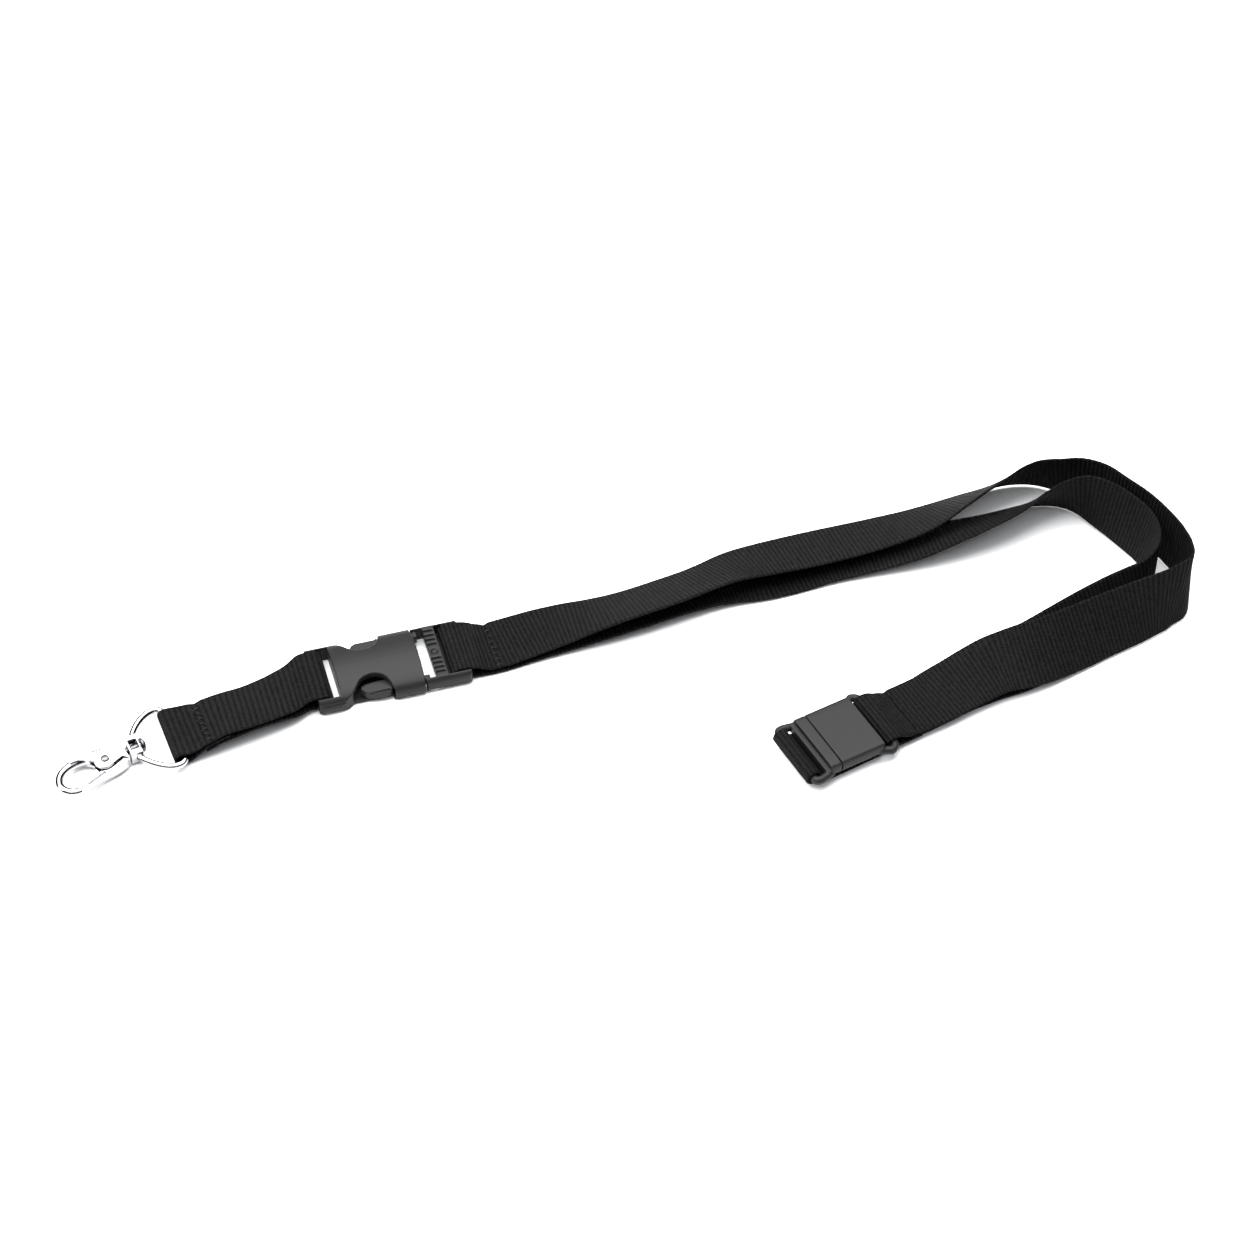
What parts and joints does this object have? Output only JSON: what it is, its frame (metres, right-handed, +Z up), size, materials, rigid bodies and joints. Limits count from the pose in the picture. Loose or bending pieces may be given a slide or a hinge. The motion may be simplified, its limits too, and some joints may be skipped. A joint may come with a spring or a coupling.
{
  "type": "lanyard",
  "caption": "Black webbing lanyard with a chrome swivel trigger hook, D-loop, side-release buckle and safety breakaway buckle.",
  "frame": {"origin": "on the flat underside of the side-release buckle's socket, in the middle of its width", "axes": "+X along the side-release buckle, from the hook towards the neck strap; +Z up, off the surface the lanyard lies on"},
  "size_m": [0.3573, 0.1072, 0.0207],
  "materials": {
    "webbing": "matte woven polyester, ribbed across",
    "thread": "matte thread",
    "plastic": "moulded, satin",
    "chrome": "polished plating",
    "spring_steel": "plain"
  },
  "bodies": {
    "neck_strap": {"neck_strap_outer": "webbing", "neck_strap_inner": "webbing", "buckle_plug_frame": "plastic", "breakaway_socket": "plastic", "buckle_seam": "thread", "socket_seam_inner": "thread", "socket_seam_outer": "thread"},
    "prong_back": {"buckle_prong_back": "plastic"},
    "prong_front": {"buckle_prong_front": "plastic"},
    "socket": {"buckle_socket": "plastic"},
    "short_strap": {"short_strap": "webbing", "ring_seam": "thread"},
    "ring": {"d_loop": "chrome"},
    "hook": {"hook_body": "chrome", "swivel_rivet": "chrome", "trigger_pin": "chrome", "trigger_spring": "spring_steel"},
    "trigger": {"trigger_lever": "chrome"},
    "breakaway": {"breakaway_plug": "plastic", "breakaway_leg_back": "plastic", "breakaway_leg_front": "plastic", "neck_strap_plug_end": "webbing"}
  },
  "joints": [
    {"name": "buckle_release", "type": "slide", "parent": "neck_strap", "child": "socket", "axis": [-1, 0, 0], "range_m": [0, 0.03], "deforming": ["buckle_prong_back", "buckle_prong_front"]},
    {"name": "prong_back_press", "type": "hinge", "parent": "neck_strap", "child": "prong_back", "pos_m": [0.0067, 0.0075, 0], "axis": [0, 0, 1], "range_deg": [0, 10.5], "stiffness_Nm_per_rad": 0.05},
    {"name": "prong_front_press", "type": "hinge", "parent": "neck_strap", "child": "prong_front", "pos_m": [0.0067, -0.0075, 0], "axis": [0, 0, -1], "range_deg": [0, 10.5], "stiffness_Nm_per_rad": 0.05},
    {"name": "short_strap_swing", "type": "hinge", "parent": "socket", "child": "short_strap", "pos_m": [-0.0226, 0, 0.0035], "axis": [0, 1, 0], "range_deg": [0, 60]},
    {"name": "d_loop_pivot", "type": "hinge", "parent": "short_strap", "child": "ring", "pos_m": [-0.06915, -0.00953, 0.0027], "axis": [-0.1564, 0.9877, 0], "range_deg": [0, 60]},
    {"name": "hook_swivel", "type": "hinge", "parent": "ring", "child": "hook", "pos_m": [-0.0816, -0.0115, 0.0027], "axis": [0.9659, 0.2588, 0], "continuous": true},
    {"name": "trigger_press", "type": "hinge", "parent": "hook", "child": "trigger", "pos_m": [-0.09074, -0.01467, 0.0027], "axis": [0, 0, -1], "range_deg": [0, 22], "stiffness_Nm_per_rad": 0.02, "deforming": ["trigger_spring"]},
    {"name": "breakaway_release", "type": "slide", "parent": "neck_strap", "child": "breakaway", "axis": [-0.9724, -0.2334, 0], "range_m": [0, 0.016], "deforming": ["breakaway_leg_back", "breakaway_leg_front"]}
  ]
}
